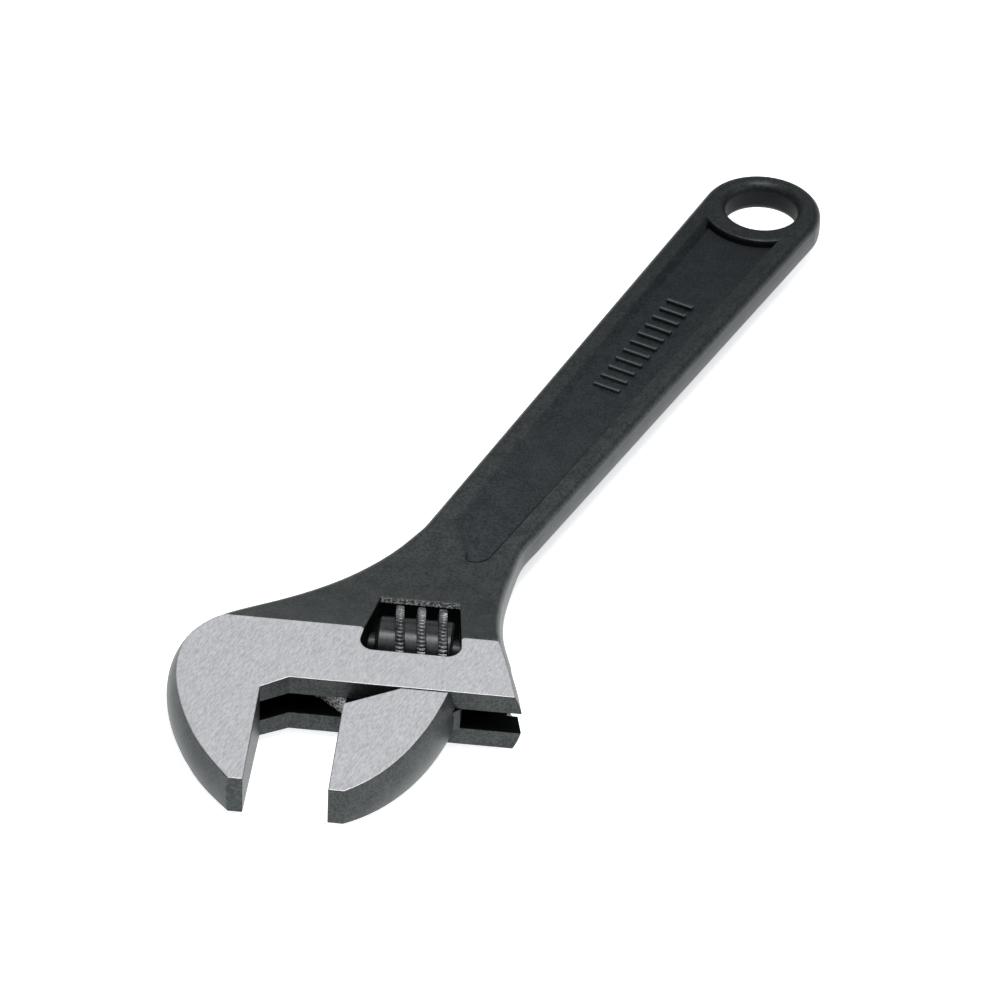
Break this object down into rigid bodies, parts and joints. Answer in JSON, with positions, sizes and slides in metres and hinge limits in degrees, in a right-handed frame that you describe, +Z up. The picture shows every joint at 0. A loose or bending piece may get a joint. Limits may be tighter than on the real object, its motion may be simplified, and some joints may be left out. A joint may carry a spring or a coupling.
{
  "type": "adjustable wrench",
  "caption": "Open-ended adjustable wrench: a worm in the head slides one jaw along the throat, with a flat panelled handle and a hanging hole.",
  "frame": {"origin": "middle of the fixed jaw's gripping face", "axes": "+X out of the fixed jaw's face, the way the sliding jaw opens; +Y from the jaw tips towards the handle; +Z up, out of the top face. The handle leans 22.5 degrees from +Y towards +X"},
  "size_m": [0.1018, 0.1859, 0.014],
  "materials": {
    "wrench_body": "forged steel with a black oxide finish, head faces ground bright",
    "sliding_jaw": "top and bottom ground bright, sides black oxide",
    "adjusting_worm": "turned steel with a black oxide finish, knurled thread crest",
    "worm_pin": "dark turned steel",
    "worm_spring": "drawn spring wire"
  },
  "bodies": {
    "handle_body": {"wrench_body": "wrench_body", "worm_pin": "worm_pin", "worm_spring": "worm_spring"},
    "jaw": {"sliding_jaw": "sliding_jaw"},
    "worm": {"adjusting_worm": "adjusting_worm"}
  },
  "joints": [
    {"name": "jaw_slide", "type": "slide", "parent": "handle_body", "child": "jaw", "axis": [1, 0, 0], "range_m": [-0.0142, 0.0097]},
    {"name": "worm_spin", "type": "hinge", "parent": "handle_body", "child": "worm", "pos_m": [0.024, 0.0309, 0], "axis": [1, 0, 0], "range_deg": [-960, 1400]}
  ],
  "couplings": [
    {"joint": "worm_spin", "follows": "jaw_slide", "rad_per_m": -1707.4}
  ]
}
